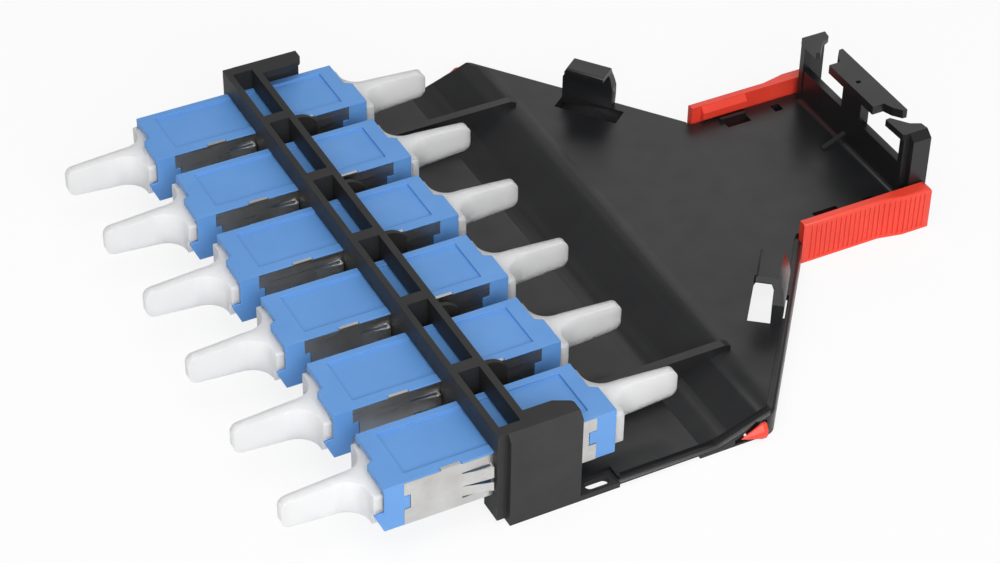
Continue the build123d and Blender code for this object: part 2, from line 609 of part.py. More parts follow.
def plug_side(deep, proud, turn):
    tip = proud + turn * BLADE_REACH
    root = proud + turn * BLADE_STRAIGHT
    high = ADAPTER_AXIS + PLUG_HEIGHT / 2
    low = ADAPTER_AXIS - PLUG_HEIGHT / 2
    tip_high = ADAPTER_AXIS + BLADE_TIP_HEIGHT / 2
    tip_low = ADAPTER_AXIS - BLADE_TIP_HEIGHT / 2
    with BuildSketch(SIDE_VIEW.offset(-10)) as side:
        with BuildLine():
            Polyline(
                (deep - turn * 1, low),
                (deep - turn * 1, high),
                (root, high),
                (tip, tip_high),
                (tip, tip_low),
                (root, low),
                close=True,
            )
        make_face()
        corners = side.vertices().group_by(Axis.X)[-1 if turn > 0 else 0]
        fillet(corners, radius=BLADE_ROUND)
    return side.sketch


# Front outline of the flange, with rounded corners
def plug_face(proud, turn):
    with BuildSketch(Plane(origin=(proud, 0, ADAPTER_AXIS), x_dir=(0, 1, 0), z_dir=(turn, 0, 0))) as face:
        RectangleRounded(2 * PLUG_HALF_WIDTH, PLUG_HEIGHT, FLANGE_ROUND)
    return face.sketch


# Insert that closes the mouth, following the step of its face
def plug_insert(deep, proud, turn):
    half = MOUTH_WIDTH / 2 - PLUG_CLEARANCE
    end = deep - turn * PLUG_INSERT
    with BuildSketch(Plane.XY.offset(ADAPTER_AXIS - PLUG_HEIGHT / 2)) as insert:
        with BuildLine():
            Polyline(
                (end, half),
                (deep + turn * 0.2, half),
                (deep + turn * 0.2, STEP_HIGH),
                (proud + turn * 0.2, STEP_LOW),
                (proud + turn * 0.2, -half),
                (end, -half),
                close=True,
            )
        make_face()
    return insert.sketch


with BuildPart() as rear_plug:
    extrude(plug_plan(REAR_DEEP + PLUG_SEAT, REAR_PROUD + PLUG_SEAT, 1), amount=PLUG_HEIGHT)
    extrude(plug_side(REAR_DEEP + PLUG_SEAT, REAR_PROUD + PLUG_SEAT, 1), amount=20, mode=Mode.INTERSECT)
    extrude(plug_face(REAR_PROUD, 1), amount=2 * BLADE_REACH, both=True, mode=Mode.INTERSECT)
    extrude(plug_insert(REAR_DEEP + PLUG_SEAT, REAR_PROUD + PLUG_SEAT, 1), amount=PLUG_HEIGHT)

with BuildPart() as front_plug:
    extrude(plug_plan(FRONT_DEEP - PLUG_SEAT, FRONT_PROUD - PLUG_SEAT, -1), amount=PLUG_HEIGHT)
    extrude(plug_side(FRONT_DEEP - PLUG_SEAT, FRONT_PROUD - PLUG_SEAT, -1), amount=20, mode=Mode.INTERSECT)
    extrude(plug_face(FRONT_PROUD, -1), amount=2 * BLADE_REACH, both=True, mode=Mode.INTERSECT)
    extrude(plug_insert(FRONT_DEEP - PLUG_SEAT, FRONT_PROUD - PLUG_SEAT, -1), amount=PLUG_HEIGHT)
    # corner cut away over the housing's small ramp
    with BuildSketch(Plane.XY.offset(ADAPTER_AXIS - PLUG_HEIGHT / 2 - 1)):
        with Locations((FRONT_PROUD - 2, -ADAPTER_WIDTH / 2)):
            Rectangle(4, 2 * LIP_WIDTH + 0.3)
    extrude(amount=LIP_TOP + 0.15 - (ADAPTER_AXIS - PLUG_HEIGHT / 2 - 1), mode=Mode.SUBTRACT)

# Panel bar with its end plates, legs and feet: one moulding
LEG_MIDDLE = (BAR_LENGTH / 2 + LEG_INNER) / 2
POCKET_DEPTH = BAR_DEPTH - RAIL_FRONT - RAIL_REAR
POCKET_X = RAIL_FRONT + POCKET_DEPTH / 2

# Side view of a guide lug behind the bar
with BuildSketch(SIDE_VIEW) as lug_view:
    with BuildLine():
        l1 = Line((BAR_DEPTH - 0.5, WEB_BOTTOM), (BAR_DEPTH + LUG_REACH, WEB_BOTTOM + 3))
        l2 = Line(l1 @ 1, (BAR_DEPTH + LUG_REACH, LUG_TOP - 1.9))
        a1 = ThreePointArc(l2 @ 1, (BAR_DEPTH + LUG_REACH / 2, LUG_TOP), (BAR_DEPTH - 0.5, LUG_TOP - 0.5))
        Line(a1 @ 1, l1 @ 0)
    make_face()

with BuildPart() as holder:
    with BuildSketch(Plane.XY.offset(WEB_BOTTOM)):
        with Locations((BAR_DEPTH / 2, 0)):
            Rectangle(BAR_DEPTH, BAR_LENGTH)
    extrude(amount=BAR_TOP - WEB_BOTTOM)
    with BuildSketch(Plane.XY.offset(LEG_FOOT)):
        with Locations((BAR_DEPTH / 2, LEG_MIDDLE), (BAR_DEPTH / 2, -LEG_MIDDLE)):
            Rectangle(BAR_DEPTH, LEG_WIDTH)
    extrude(amount=WEB_BOTTOM - LEG_FOOT)
    # six pockets between the rails, open at the top
    with BuildSketch(Plane.XY.offset(ADAPTER_BASE)):
        for number in range(2, ADAPTER_COUNT):
            with Locations((POCKET_X, row_y(number))):
                Rectangle(POCKET_DEPTH, ADAPTER_PITCH - CROSS_RIB)
        outer_from = (ADAPTER_COUNT / 2 - 1) * ADAPTER_PITCH + CROSS_RIB / 2
        with Locations(
            (POCKET_X, (outer_from + POCKET_END) / 2),
            (POCKET_X, -(outer_from + POCKET_END) / 2),
        ):
            Rectangle(POCKET_DEPTH, POCKET_END - outer_from)
    extrude(amount=BAR_TOP - ADAPTER_BASE, mode=Mode.SUBTRACT)
    # windows for the adapters
    with BuildSketch(Plane.YZ.offset(-1)):
        for number in range(1, ADAPTER_COUNT + 1):
            with Locations((row_y(number), ADAPTER_BASE + (ADAPTER_HEIGHT + WINDOW_CLEARANCE) / 2)):
                Rectangle(ADAPTER_WIDTH + 2 * WINDOW_CLEARANCE, ADAPTER_HEIGHT + WINDOW_CLEARANCE)
    extrude(amount=BAR_DEPTH + 2, mode=Mode.SUBTRACT)
    # end plates with a sloping top edge
    EDGE_DROP = PLATE_OUTER - BAR_LENGTH / 2
    with BuildSketch(Plane.YZ.offset(PLATE_FRONT)):
        with BuildLine():
            Polyline(
                (PLATE_INNER, 0),
                (PLATE_OUTER, 0),
                (PLATE_OUTER, BAR_TOP - EDGE_DROP),
                (BAR_LENGTH / 2, BAR_TOP),
                (PLATE_INNER, BAR_TOP),
                close=True,
            )
        make_face()
        mirror(about=Plane.YZ)
    extrude(amount=PLATE_REAR - PLATE_FRONT)
    # room beside the outermost adapters for the clips' fingers
    with BuildSketch(Plane.XY.offset(FINGER_BOTTOM - 0.2)):
        for side in (1, -1):
            with Locations((POCKET_X, side * (row_y(1) + ADAPTER_WIDTH / 2 + FINGER_ROOM / 2))):
                Rectangle(POCKET_DEPTH, FINGER_ROOM)
    extrude(amount=FINGER_HEIGHT + 0.4, mode=Mode.SUBTRACT)
    # short shelves behind the bar's ends
    with BuildSketch(Plane.XY.offset(BAR_TOP - SHELF_THICKNESS)):
        with BuildLine():
            Polyline(
                (BAR_DEPTH - 0.5, SHELF_INNER),
                (BAR_DEPTH + SHELF_STRAIGHT, SHELF_INNER),
                (PLATE_REAR - 0.3, SHELF_INNER + 1.3),
                (PLATE_REAR, SHELF_INNER + 1.8),
                (PLATE_REAR, PLATE_INNER + 0.5),
                (BAR_DEPTH - 0.5, PLATE_INNER + 0.5),
                close=True,
            )
        make_face()
        mirror(about=Plane.XZ)
    extrude(amount=SHELF_THICKNESS)
    # feet with a slot, beside the tray's floor
    with BuildSketch(Plane.XY):
        for side in (1, -1):
            with Locations(((BAR_DEPTH + FOOT_REAR) / 2, side * (FOOT_INNER + PLATE_OUTER) / 2)):
                Rectangle(FOOT_REAR - BAR_DEPTH, PLATE_OUTER - FOOT_INNER)
            with Locations((PLATE_REAR + FOOT_SLOT_GAP + FOOT_SLOT_LENGTH / 2, side * FOOT_SLOT_Y)):
                SlotOverall(FOOT_SLOT_LENGTH, FOOT_SLOT_WIDTH, mode=Mode.SUBTRACT)
    extrude(amount=FOOT_HEIGHT)
    # guide lugs behind the bar, close beside every second adapter and a little away from the others
    for number in range(1, ADAPTER_COUNT + 1):
        apart = number % 2 == 0
        lug_gap = WINDOW_CLEARANCE + (LUG_SHIFT if apart else 0)
        lug_y = row_y(number) - ADAPTER_WIDTH / 2 - lug_gap - LUG_THICKNESS
        extrude(Pos(0, lug_y, -LUG_DROP if apart else 0) * lug_view.sketch, amount=-LUG_THICKNESS)

# Tray: floor, side walls and everything moulded onto them; one half first, then its mirror image
OUTER_HALF = [
    (TRAY_FRONT, 0),
    (TRAY_FRONT, LEG_INNER - LEG_GAP),
    (BAR_DEPTH, LEG_INNER - LEG_GAP),
    (BAR_DEPTH, FOOT_INNER),
    (FOOT_REAR, FOOT_INNER),
    (FOOT_REAR, TRAY_SIDE),
    (CORNER_X, TRAY_SIDE),
    (slant_x(SLANT_REACH, SHOULDER), SHOULDER),
    (NECK_FRONT, SHOULDER - 1.5),
    (NECK_FRONT, NECK_HALF),
    (WALL_REAR, NECK_HALF),
    (WALL_REAR, 0),
]
INNER_REACH = SLANT_REACH - SIDE_WALL
INNER_SIDE = TRAY_SIDE - SIDE_WALL
INNER_SHOULDER = SHOULDER - 0.7
INNER_HALF = [
    (RAISED_END, 0),
    (RAISED_END, INNER_SIDE),
    (slant_x(INNER_REACH, INNER_SIDE), INNER_SIDE),
    (slant_x(INNER_REACH, INNER_SHOULDER), INNER_SHOULDER),
    (slant_x(INNER_REACH, INNER_SHOULDER), NECK_HALF - SIDE_WALL),
    (WALL_FRONT, NECK_HALF - SIDE_WALL),
    (WALL_FRONT, 0),
]


# Line along the side and the slanted side, a given distance in from the outer face
def edge_line(inset, start):
    side = TRAY_SIDE - inset
    reach = SLANT_REACH - inset
    return [(start, side), (slant_x(reach, side), side), (slant_x(reach, NECK_HALF + 0.4), NECK_HALF + 0.4)]


with BuildPart() as under_floor:
    with BuildSketch(Plane.XY.offset(-1)):
        with BuildLine():
            Polyline(*INNER_HALF, close=True)
        make_face()
    extrude(amount=FLOOR_HIGH)
    with BuildSketch(SIDE_VIEW):
        with BuildLine():
            Polyline(
                (RAMP_FOOT, 0),
                (RAMP_TOP, FLOOR_HIGH - FLOOR_THICKNESS),
                (WALL_FRONT, FLOOR_HIGH - FLOOR_THICKNESS),
                (WALL_FRONT, -1),
                (RAMP_FOOT, -1),
                close=True,
            )
        make_face()
    extrude(amount=-2 * TRAY_SIDE, mode=Mode.INTERSECT)

# Groove between the floor panel and the rim, which follows the ramp
with BuildPart() as edge_groove:
    with BuildSketch(Plane.XY.offset(-1)):
        with BuildLine():
            Polyline(
                *edge_line(RIM_WIDTH + GROOVE_WIDTH, FOOT_REAR + GROOVE_START),
                *reversed(edge_line(RIM_WIDTH, FOOT_REAR + GROOVE_START)),
                close=True,
            )
        make_face()
    extrude(amount=FLOOR_HIGH + 2)
    with BuildSketch(SIDE_VIEW):
        with BuildLine():
            Polyline(
                (0, FLOOR_LOW - GROOVE_DEPTH),
                (RAMP_FOOT, FLOOR_LOW - GROOVE_DEPTH),
                (RAMP_TOP, FLOOR_HIGH - GROOVE_DEPTH),
                (WALL_REAR, FLOOR_HIGH - GROOVE_DEPTH),
                (WALL_REAR, FLOOR_HIGH + 1),
                (0, FLOOR_HIGH + 1),
                close=True,
            )
        make_face()
    extrude(amount=-2 * TRAY_SIDE, mode=Mode.INTERSECT)

# Space above the rim at the foot of the ramp, over its rounded edge
with BuildSketch(Plane.YZ.offset(RAMP_FOOT)) as rim_profile:
    with BuildLine():
        l1 = Line((PANEL_SIDE, FLOOR_LOW - RIM_DROP), (TRAY_SIDE - RIM_ROUND, FLOOR_LOW - RIM_DROP))
        a1 = TangentArc(l1 @ 1, (TRAY_SIDE, FLOOR_LOW - RIM_DROP - RIM_ROUND), tangent=(1, 0))
        Polyline(
            a1 @ 1,
            (TRAY_SIDE + 1, FLOOR_LOW - RIM_DROP - RIM_ROUND),
            (TRAY_SIDE + 1, FLOOR_HIGH + 3),
            (PANEL_SIDE, FLOOR_HIGH + 3),
            l1 @ 0,
        )
    make_face()

with BuildPart() as tray:
    with BuildSketch(Plane.XY):
        with BuildLine():
            Polyline(*OUTER_HALF, close=True)
        make_face()
        fillet(vertices().sort_by_distance((CORNER_X, TRAY_SIDE, 0))[0], CORNER_ROUND)
    extrude(amount=FLOOR_HIGH)
    # rim outside the floor panel, a step lower and rounded along its outer edge
    with BuildSketch(Plane.XY.offset(FLOOR_HIGH - RIM_DROP)):
        with BuildLine():
            Polyline(*edge_line(RIM_WIDTH, FOOT_REAR), *reversed(edge_line(-2, FOOT_REAR)), close=True)
        make_face()
    extrude(amount=2 * RIM_DROP, mode=Mode.SUBTRACT)
    rim_edges = tray.edges().filter_by(lambda e: abs(e.center().Z - FLOOR_HIGH + RIM_DROP) < 0.01)
    rim_edges = [e for e in rim_edges if slant_reach(e.center()) > SLANT_REACH - 0.6 or e.center().Y > TRAY_SIDE - 0.1]
    fillet([e for e in rim_edges if e.center().X > FOOT_REAR + 1 and e.center().Y > SHOULDER], RIM_ROUND)
    # low front floor and ramp
    with BuildSketch(SIDE_VIEW):
        with BuildLine():
            FilletPolyline(
                (0, FLOOR_LOW),
                (RAMP_FOOT, FLOOR_LOW),
                (RAMP_TOP, FLOOR_HIGH),
                (RAMP_TOP + RAMP_LENGTH, FLOOR_HIGH),
                radius=RAMP_BEND,
            )
            Polyline(
                (RAMP_TOP + RAMP_LENGTH, FLOOR_HIGH),
                (RAMP_TOP + RAMP_LENGTH, FLOOR_HIGH + 1),
                (0, FLOOR_HIGH + 1),
                (0, FLOOR_LOW),
            )
        make_face()
    extrude(amount=-PANEL_SIDE, mode=Mode.SUBTRACT)
    # the same for the rim, with its rounded edge
    extrude(rim_profile.sketch, amount=-(RAMP_FOOT - FOOT_REAR + 1), mode=Mode.SUBTRACT)
    extrude(
        rim_profile.sketch,
        amount=hypot(RAMP_LENGTH, RAMP_RISE),
        dir=(RAMP_LENGTH, 0, RAMP_RISE),
        mode=Mode.SUBTRACT,
    )
    # space under the low floor and under the raised floor
    with BuildSketch(Plane.XY):
        with Locations((RAISED_END / 2, TRAY_SIDE / 2)):
            Rectangle(RAISED_END, TRAY_SIDE)
    extrude(amount=RAISED_BOTTOM, mode=Mode.SUBTRACT)
    add(under_floor.part, mode=Mode.SUBTRACT)
    add(edge_groove.part, mode=Mode.SUBTRACT)
    # rib along the floor
    with BuildSketch(SIDE_VIEW.offset(-(RIB_Y - RIB_THICKNESS / 2))):
        with BuildLine():
            Polyline(
                (RIB_FRONT, FLOOR_LOW - 0.4),
                (RIB_FRONT, RIB_TOP),
                (RIB_REAR - 1.2, RIB_TOP),
                (RIB_REAR, RIB_TOP - 0.5),
                (RIB_REAR, FLOOR_HIGH - 0.4),
                (RAMP_TOP, FLOOR_HIGH - 0.4),
                (RAMP_FOOT, FLOOR_LOW - 0.4),
                close=True,
            )
        make_face()
    extrude(amount=-RIB_THICKNESS)
    # fibre hook: wall with a bulged outside and a lip that reaches inwards
    with BuildSketch(SLANT_PLANE.offset(HOOK_START)):
        with BuildLine():
            l1 = Line((HOOK_INNER, FLOOR_HIGH - 0.5), (HOOK_INNER, HOOK_TOP - HOOK_LIP - 0.9))
            l2 = Line(l1 @ 1, (HOOK_INNER - 0.5, HOOK_TOP - HOOK_LIP))
            l3 = Line(l2 @ 1, (HOOK_TIP, HOOK_TOP - HOOK_LIP))
            l4 = Line(l3 @ 1, (HOOK_TIP, HOOK_TOP - HOOK_LIP_ROUND))
            a1 = TangentArc(l4 @ 1, (HOOK_TIP + HOOK_LIP_ROUND, HOOK_TOP), tangent=(0, 1))
            l5 = Line(a1 @ 1, (HOOK_OUTER - 0.9, HOOK_TOP))
            a2 = ThreePointArc(l5 @ 1, (HOOK_OUTER + HOOK_BULGE, HOOK_TOP - 3.4), (HOOK_OUTER, FLOOR_HIGH))
            l6 = Line(a2 @ 1, (HOOK_OUTER, FLOOR_HIGH - 0.5))
            Line(l6 @ 1, l1 @ 0)
        make_face()
    extrude(amount=HOOK_LENGTH)
    # sloped front corner and eased rear corner of the hook
    with BuildSketch(SLANT_VIEW):
        with BuildLine():
            Polyline(
                (HOOK_START - 1, HOOK_SHOULDER),
                (HOOK_START, HOOK_SHOULDER),
                (HOOK_START + 1.9, HOOK_TOP),
                (HOOK_START + 1.9, HOOK_TOP + 1),
                (HOOK_START - 1, HOOK_TOP + 1),
                close=True,
            )
        make_face()
        with BuildLine():
            Polyline(
                (HOOK_END + 1, HOOK_SHOULDER),
                (HOOK_END, HOOK_SHOULDER),
                (HOOK_END - 0.6, HOOK_TOP - 1.2),
                (HOOK_END - 0.6, HOOK_TOP + 1),
                (HOOK_END + 1, HOOK_TOP + 1),
                close=True,
            )
        make_face()
    extrude(amount=-(SLANT_REACH + 5), mode=Mode.SUBTRACT)
    # window in the floor under the hook and slot outside it
    with BuildSketch(Plane.XY.offset(-1)):
        with BuildLine():
            Polyline(
                slant_point(WINDOW_INNER, WINDOW_START),
                slant_point(HOOK_INNER - 0.02, WINDOW_START),
                slant_point(HOOK_INNER - 0.02, WINDOW_END),
                slant_point(WINDOW_INNER, WINDOW_END),
                close=True,
            )
        make_face()
    extrude(amount=FLOOR_HIGH + 1.2, mode=Mode.SUBTRACT)
    with BuildSketch(Plane.XY.offset(FLOOR_HIGH - EDGE_SLOT_DEPTH)):
        with BuildLine():
            Polyline(
                slant_point(HOOK_OUTER + 0.02, EDGE_SLOT_START),
                slant_point(HOOK_OUTER + EDGE_SLOT_WIDTH, EDGE_SLOT_START),
                slant_point(HOOK_OUTER + EDGE_SLOT_WIDTH, EDGE_SLOT_END),
                slant_point(HOOK_OUTER + 0.02, EDGE_SLOT_END),
                close=True,
            )
        make_face()
    extrude(amount=EDGE_SLOT_DEPTH + 0.1, mode=Mode.SUBTRACT)
    # slot for the latch's nose: under the ramp, through the wall above a sill, and open at the rim
    with BuildSketch(SIDE_VIEW.offset(-NOSE_SLOT_INNER)):
        with BuildLine():
            Polyline(
                (NOSE_SLOT_FRONT, -1),
                (NOSE_SLOT_FRONT, ramp_height(NOSE_SLOT_FRONT) - NOSE_SLOT_SKIN),
                (NOSE_SLOT_REAR, ramp_height(NOSE_SLOT_REAR) - NOSE_SLOT_SKIN),
                (NOSE_SLOT_REAR, -1),
                close=True,
            )
        make_face()
    extrude(amount=-(INNER_SIDE - NOSE_SLOT_INNER), mode=Mode.SUBTRACT)
    with BuildSketch(SIDE_VIEW.offset(-(INNER_SIDE - 0.1))):
        with BuildLine():
            Polyline(
                (NOSE_SLOT_OPEN, NOSE_SLOT_SILL),
                (NOSE_SLOT_OPEN, NOSE_SLOT_TOP),
                (NOSE_SLOT_REAR, NOSE_SLOT_TOP),
                (NOSE_SLOT_REAR, NOSE_SLOT_SILL),
                close=True,
            )
        make_face()
    extrude(amount=-(TRAY_SIDE - INNER_SIDE + 1), mode=Mode.SUBTRACT)
    # recess for the nose's tip, then a notch in the rim's rounded edge for the tall part
    with BuildSketch(SIDE_VIEW.offset(-(NOSE_TALL_SIDE - NOSE_TRAVEL - NOSE_GAP))):
        with BuildLine():
            Polyline(
                (NOSE_SLOT_FRONT, NOSE_SLOT_SILL),
                (NOSE_SLOT_FRONT, NOSE_SLOT_TOP),
                (NOSE_SLOT_OPEN + 0.1, NOSE_SLOT_TOP),
                (NOSE_SLOT_OPEN + 0.1, NOSE_SLOT_SILL),
                close=True,
            )
        make_face()
    extrude(amount=-2, mode=Mode.SUBTRACT)
    with BuildSketch(SIDE_VIEW.offset(-(NOSE_TALL_SIDE - NOSE_TRAVEL - NOSE_GAP))):
        with BuildLine():
            Polyline(
                (NOSE_FRONT - NOSE_TRAVEL - NOSE_GAP, NOSE_SLOT_SILL),
                (NOSE_FRONT - NOSE_TRAVEL - NOSE_GAP, NOSE_SLOT_TOP),
                (NOSE_CREST - NOSE_TRAVEL - NOSE_GAP, NOSE_TOP + NOSE_GAP),
                (NOSE_SLOT_REAR, NOSE_TOP + NOSE_GAP),
                (NOSE_SLOT_REAR, NOSE_SLOT_SILL),
                close=True,
            )
        make_face()
    extrude(amount=-2, mode=Mode.SUBTRACT)
    # side of the neck left open for the latch, slot in the floor beside it, rear floor hole
    with BuildSketch(Plane.XY.offset(-1)):
        with Locations(((NECK_FRONT + HOLE_FRONT + 0.3) / 2, NECK_HALF)):
            Rectangle(HOLE_FRONT - NECK_FRONT - 0.3, 2 * SIDE_WALL + 0.4)
    extrude(amount=FLOOR_HIGH - FLOOR_THICKNESS + 1, mode=Mode.SUBTRACT)
    with BuildSketch(Plane.XY.offset(-1)):
        with Locations(
            ((LATCH_SLOT_FRONT + LATCH_SLOT_REAR) / 2, (LATCH_SLOT_INNER + LATCH_SLOT_OUTER) / 2)
        ):
            Rectangle(LATCH_SLOT_REAR - LATCH_SLOT_FRONT, LATCH_SLOT_OUTER - LATCH_SLOT_INNER)
        with Locations(((HOLE_FRONT + HOLE_REAR) / 2, (HOLE_INNER + HOLE_OUTER) / 2)):
            Rectangle(HOLE_REAR - HOLE_FRONT, HOLE_OUTER - HOLE_INNER)
    extrude(amount=FLOOR_HIGH + 2, mode=Mode.SUBTRACT)
    # low ridge along the slot's outer edge
    with BuildSketch(Plane.XY.offset(FLOOR_HIGH - 0.3)):
        with Locations(
            ((LATCH_SLOT_FRONT + LATCH_SLOT_REAR) / 2 - 0.3, (LATCH_SLOT_OUTER + RIDGE_OUTER) / 2)
        ):
            Rectangle(LATCH_SLOT_REAR - LATCH_SLOT_FRONT + 0.4, RIDGE_OUTER - LATCH_SLOT_OUTER)
    extrude(amount=RIDGE_HEIGHT + 0.3)
    # pivot pin for the latch, with its head
    with BuildSketch(Plane.XY.offset(0.2)):
        with Locations((PIVOT_X, PIVOT_Y)):
            Circle(PIVOT_RADIUS)
    extrude(amount=FLOOR_HIGH - 0.6)
    with BuildSketch(Plane.XY.offset(0.2)):
        with Locations((PIVOT_X, PIVOT_Y)):
            Circle(PIVOT_HEAD)
    extrude(amount=PLATE_BOTTOM - 0.05 - 0.2)
    # rear wall with a cove at its foot
    with BuildSketch(Plane.XY):
        with Locations((WALL_FRONT + WALL_THICKNESS / 2, (ENTRY_OUTER + 0.5) / 2)):
            Rectangle(WALL_THICKNESS, ENTRY_OUTER + 0.5)
    extrude(amount=WALL_TOP)
    with BuildSketch(SIDE_VIEW):
        with BuildLine():
            a1 = TangentArc(
                (WALL_FRONT - WALL_COVE, FLOOR_HIGH), (WALL_FRONT, FLOOR_HIGH + WALL_COVE), tangent=(1, 0)
            )
            Polyline(
                a1 @ 1,
                (WALL_FRONT + 0.3, FLOOR_HIGH + WALL_COVE),
                (WALL_FRONT + 0.3, FLOOR_HIGH - 0.3),
                (WALL_FRONT - WALL_COVE, FLOOR_HIGH - 0.3),
                a1 @ 0,
            )
        make_face()
    extrude(amount=-(ENTRY_OUTER + 0.3))
    # post with its horn, and the tee-shaped guide
    with BuildSketch(Plane.XY):
        with BuildLine():
            Polyline(
                (POST_FRONT, ENTRY_OUTER),
                (WALL_REAR, ENTRY_OUTER),
                (WALL_REAR, POST_OUTER - POST_WEB - 0.8),
                (POST_REAR, POST_OUTER - POST_WEB - 0.5),
                (POST_REAR, POST_OUTER),
                (POST_FRONT + 1.1, POST_OUTER),
                (POST_FRONT + 1.1, POST_OUTER - POST_WEB),
                (POST_FRONT, POST_OUTER - POST_WEB),
                close=True,
            )
        make_face()
    extrude(amount=POST_TOP)
    with BuildSketch(Plane.XY.offset(POST_TOP - HORN_THICKNESS)):
        with BuildLine():
            Polyline(
                (WALL_FRONT - 0.4, POST_OUTER - POST_WEB - 0.2),
                (WALL_FRONT - 0.6, POST_OUTER - HORN_REACH),
                (WALL_FRONT + 0.3, POST_OUTER - HORN_REACH - 0.1),
                (WALL_FRONT + 2.5, POST_OUTER - HORN_REACH + 2.7),
                (POST_REAR - 0.2, POST_OUTER - HORN_REACH + 3.6),
                (POST_REAR, POST_OUTER - POST_WEB),
                close=True,
            )
        make_face()
    extrude(amount=HORN_THICKNESS)
    with BuildSketch(Plane.YZ.offset(POST_FRONT - 1)):
        with BuildLine():
            Polyline(
                (POST_OUTER - POST_CHAMFER_WIDTH, POST_TOP),
                (POST_OUTER, POST_TOP - POST_CHAMFER),
                (POST_OUTER + 1, POST_TOP - POST_CHAMFER),
                (POST_OUTER + 1, POST_TOP + 1),
                (POST_OUTER - POST_CHAMFER_WIDTH, POST_TOP + 1),
                close=True,
            )
        make_face()
    extrude(amount=POST_REAR - POST_FRONT + 2, mode=Mode.SUBTRACT)
    with BuildSketch(Plane.XY):
        with Locations((WALL_FRONT + TEE_WEB / 2, ENTRY_INNER / 2)):
            Rectangle(TEE_WEB, ENTRY_INNER)
    extrude(amount=TEE_UNDERSIDE)
    with BuildSketch(Plane.XY.offset(TEE_UNDERSIDE)):
        with BuildLine():
            Polyline(
                (TEE_FRONT, 0),
                (TEE_FRONT, TEE_WAIST),
                (TEE_REAR - 2.65, TEE_WAIST),
                (TEE_REAR - 2.0, TEE_WAIST + 1.7),
                (TEE_REAR - 0.8, TEE_HALF - 0.1),
                (TEE_REAR, TEE_HALF),
                (TEE_REAR, 0),
                close=True,
            )
        make_face()
    extrude(amount=TEE_THICKNESS)
    mirror(about=Plane.XZ)
    # small fin against the rear wall and small hole in the guide
    with BuildSketch(SIDE_VIEW.offset(-(FIN_Y - FIN_THICKNESS / 2))):
        with BuildLine():
            Polyline(
                (WALL_FRONT - FIN_REACH, FLOOR_HIGH - 0.3),
                (WALL_FRONT - FIN_REACH, FLOOR_HIGH + 0.25),
                (WALL_FRONT + 0.3, FLOOR_HIGH + FIN_HEIGHT),
                (WALL_FRONT + 0.3, FLOOR_HIGH - 0.3),
                close=True,
            )
        make_face()
    extrude(amount=-FIN_THICKNESS)
    with BuildSketch(Plane.XY.offset(POST_TOP - 0.8)):
        with Locations((WALL_FRONT + 1.3, 0.4)):
            Rectangle(0.9, 0.7)
    extrude(amount=1, mode=Mode.SUBTRACT)

# Latch on the far side: handle, tab, arm under the floor and nose in one piece
ARM_ROUTE = [
    (LATCH_PLATE_FRONT + 1.0, LATCH_PLATE_INNER + ARM_WIDTH / 2),
    (NECK_FRONT - 0.4, LATCH_PLATE_INNER + ARM_WIDTH / 2),
    slant_point(ARM_REACH, HOOK_END + 3.2),
    slant_point(ARM_REACH, HOOK_START - 0.5),
    (NOSE_REAR - 1.2, TRAY_SIDE - 2.2),
]


# Section across the nose, from its narrow front to its full height
def nose_section(x, share):
    low = ARM_BOTTOM + (1 - share) * 0.6
    high = NOSE_NECK_TOP + share * (NOSE_TOP - NOSE_NECK_TOP)
    reach = TRAY_SIDE + 0.15 + share * (NOSE_PROUD - 0.15)
    with BuildSketch(Plane.YZ.offset(x)) as section:
        with BuildLine():
            Polyline(
                (NOSE_TALL_SIDE - 0.1, low),
                (reach - 0.05 - share * 0.3, low),
                (reach, low + 0.02 + share * 0.75),
                (reach, high - 0.02 - share * 1.0),
                (NOSE_TALL_SIDE - 0.03 + share * 0.4, high),
                (NOSE_TALL_SIDE - 0.1 + share * 0.1, high),
                close=True,
            )
        make_face()
    return section.sketch


